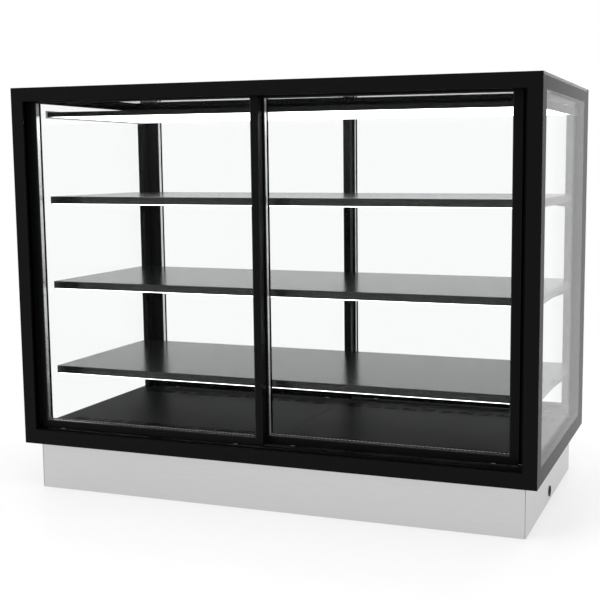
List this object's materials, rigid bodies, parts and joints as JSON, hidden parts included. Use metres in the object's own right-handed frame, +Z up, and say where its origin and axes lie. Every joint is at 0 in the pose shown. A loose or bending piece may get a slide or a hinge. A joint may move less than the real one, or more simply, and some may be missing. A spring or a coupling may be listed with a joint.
{
  "type": "drop-in refrigerated display case",
  "caption": "Drop-in glass display cabinet with sliding double-glazed doors front and rear, lit shelves and a shallow refrigerated well below the counter flange.",
  "frame": {"origin": "middle of the well's underside", "axes": "+X along the long front towards the right as a customer sees it, +Z up, customers at -Y"},
  "size_m": [1.2, 0.6, 0.925],
  "materials": {
    "black_profile": "satin black",
    "black_steel": "satin black",
    "clear_glass": "clear polished",
    "silver_spacer": "mill finish",
    "black_spacer": "matt",
    "white_nylon": "smooth",
    "brush_pile": "fine pile",
    "seal_rubber": "matt",
    "light_aluminium": "satin black",
    "diffuser_opal": "opal, lit",
    "grey_plastic": "fine grain",
    "shelf_paint": "satin dark grey",
    "deck_paint": "satin black",
    "stainless": "fine brushed",
    "foam": "foamed",
    "fin_aluminium": "mill finish",
    "copper": "drawn",
    "black_plastic": "moulded",
    "screw_steel": "plated"
  },
  "bodies": {
    "cabinet": {"base_casing": "stainless", "base_insulation": "foam", "cable_grommet": "seal_rubber", "closing_profiles": "seal_rubber", "controller": "black_plastic", "corner_posts": "black_profile", "deck_panels": "deck_paint", "evaporator_fins": "fin_aluminium", "evaporator_tubes": "copper", "fan_panel": "black_plastic", "glass_spacers": "black_spacer", "heads": "black_profile", "light_diffuser": "diffuser_opal", "light_end_caps": "grey_plastic", "light_housing": "light_aluminium", "post_screws": "screw_steel", "rear_uprights": "black_steel", "service_cover": "stainless", "shelf_bottom": "shelf_paint", "shelf_brackets": "black_steel", "shelf_led_strips": "diffuser_opal", "shelf_middle": "shelf_paint", "shelf_top": "shelf_paint", "side_glass": "clear_glass", "side_rails": "black_profile", "sills": "black_profile", "terminal_box": "grey_plastic", "top_glass": "clear_glass", "well_liner": "stainless"},
    "front_left_door": {"front_left_door_frame": "black_profile", "front_left_door_pull": "black_profile", "front_left_door_glass": "clear_glass", "front_left_door_spacer": "silver_spacer", "front_brush_seal": "brush_pile"},
    "front_left_roller_a": {"front_left_roller_a": "white_nylon"},
    "front_left_roller_b": {"front_left_roller_b": "white_nylon"},
    "front_right_door": {"front_right_door_frame": "black_profile", "front_right_door_pull": "black_profile", "front_right_door_glass": "clear_glass", "front_right_door_spacer": "silver_spacer"},
    "front_right_roller_a": {"front_right_roller_a": "white_nylon"},
    "front_right_roller_b": {"front_right_roller_b": "white_nylon"},
    "rear_right_door": {"rear_right_door_frame": "black_profile", "rear_right_door_pull": "black_profile", "rear_right_door_glass": "clear_glass", "rear_right_door_spacer": "silver_spacer", "rear_brush_seal": "brush_pile"},
    "rear_right_roller_a": {"rear_right_roller_a": "white_nylon"},
    "rear_right_roller_b": {"rear_right_roller_b": "white_nylon"},
    "rear_left_door": {"rear_left_door_frame": "black_profile", "rear_left_door_pull": "black_profile", "rear_left_door_glass": "clear_glass", "rear_left_door_spacer": "silver_spacer"},
    "rear_left_roller_a": {"rear_left_roller_a": "white_nylon"},
    "rear_left_roller_b": {"rear_left_roller_b": "white_nylon"},
    "fan_rotor_left": {"fan_rotor_left": "black_plastic"},
    "fan_rotor_right": {"fan_rotor_right": "black_plastic"},
    "controller_button_down": {"controller_button_down": "grey_plastic"},
    "controller_button_up": {"controller_button_up": "grey_plastic"},
    "light_switch": {"light_switch": "black_plastic"}
  },
  "joints": [
    {"name": "front_left_door_slide", "type": "slide", "parent": "cabinet", "child": "front_left_door", "axis": [1, 0, 0], "range_m": [0, 0.55]},
    {"name": "front_left_roller_a_spin", "type": "hinge", "parent": "front_left_door", "child": "front_left_roller_a", "pos_m": [-0.516, -0.269, 0.1483], "axis": [0, 1, 0], "range_deg": [-5, 4510]},
    {"name": "front_left_roller_b_spin", "type": "hinge", "parent": "front_left_door", "child": "front_left_roller_b", "pos_m": [-0.07125, -0.269, 0.1483], "axis": [0, 1, 0], "range_deg": [-5, 4510]},
    {"name": "front_right_door_slide", "type": "slide", "parent": "cabinet", "child": "front_right_door", "axis": [-1, 0, 0], "range_m": [0, 0.55]},
    {"name": "front_right_roller_a_spin", "type": "hinge", "parent": "front_right_door", "child": "front_right_roller_a", "pos_m": [0.05475, -0.244, 0.1483], "axis": [0, -1, 0], "range_deg": [-5, 4510]},
    {"name": "front_right_roller_b_spin", "type": "hinge", "parent": "front_right_door", "child": "front_right_roller_b", "pos_m": [0.4995, -0.244, 0.1483], "axis": [0, -1, 0], "range_deg": [-5, 4510]},
    {"name": "rear_right_door_slide", "type": "slide", "parent": "cabinet", "child": "rear_right_door", "axis": [-1, 0, 0], "range_m": [0, 0.55]},
    {"name": "rear_right_roller_a_spin", "type": "hinge", "parent": "rear_right_door", "child": "rear_right_roller_a", "pos_m": [0.516, 0.269, 0.1483], "axis": [0, -1, 0], "range_deg": [-5, 4510]},
    {"name": "rear_right_roller_b_spin", "type": "hinge", "parent": "rear_right_door", "child": "rear_right_roller_b", "pos_m": [0.07125, 0.269, 0.1483], "axis": [0, -1, 0], "range_deg": [-5, 4510]},
    {"name": "rear_left_door_slide", "type": "slide", "parent": "cabinet", "child": "rear_left_door", "axis": [1, 0, 0], "range_m": [0, 0.55]},
    {"name": "rear_left_roller_a_spin", "type": "hinge", "parent": "rear_left_door", "child": "rear_left_roller_a", "pos_m": [-0.05475, 0.244, 0.1483], "axis": [0, 1, 0], "range_deg": [-5, 4510]},
    {"name": "rear_left_roller_b_spin", "type": "hinge", "parent": "rear_left_door", "child": "rear_left_roller_b", "pos_m": [-0.4995, 0.244, 0.1483], "axis": [0, 1, 0], "range_deg": [-5, 4510]},
    {"name": "fan_rotor_left_spin", "type": "hinge", "parent": "cabinet", "child": "fan_rotor_left", "pos_m": [-0.3, -0.06, 0.0645], "axis": [0, 1, 0], "continuous": true},
    {"name": "fan_rotor_right_spin", "type": "hinge", "parent": "cabinet", "child": "fan_rotor_right", "pos_m": [0.2, -0.06, 0.0645], "axis": [0, 1, 0], "continuous": true},
    {"name": "controller_button_down_press", "type": "slide", "parent": "cabinet", "child": "controller_button_down", "axis": [0, -1, 0], "range_m": [0, 0.0008], "stiffness_N_per_m": 400},
    {"name": "controller_button_up_press", "type": "slide", "parent": "cabinet", "child": "controller_button_up", "axis": [0, -1, 0], "range_m": [0, 0.0008], "stiffness_N_per_m": 400},
    {"name": "light_switch_rock", "type": "hinge", "parent": "cabinet", "child": "light_switch", "pos_m": [0.36, 0.2955, 0.1265], "axis": [0, 0, 1], "range_deg": [-5, 5]}
  ],
  "couplings": [
    {"joint": "front_left_roller_a_spin", "follows": "front_left_door_slide", "rad_per_m": 142.86},
    {"joint": "front_left_roller_b_spin", "follows": "front_left_door_slide", "rad_per_m": 142.86},
    {"joint": "front_right_roller_a_spin", "follows": "front_right_door_slide", "rad_per_m": 142.86},
    {"joint": "front_right_roller_b_spin", "follows": "front_right_door_slide", "rad_per_m": 142.86},
    {"joint": "rear_right_roller_a_spin", "follows": "rear_right_door_slide", "rad_per_m": 142.86},
    {"joint": "rear_right_roller_b_spin", "follows": "rear_right_door_slide", "rad_per_m": 142.86},
    {"joint": "rear_left_roller_a_spin", "follows": "rear_left_door_slide", "rad_per_m": 142.86},
    {"joint": "rear_left_roller_b_spin", "follows": "rear_left_door_slide", "rad_per_m": 142.86}
  ]
}
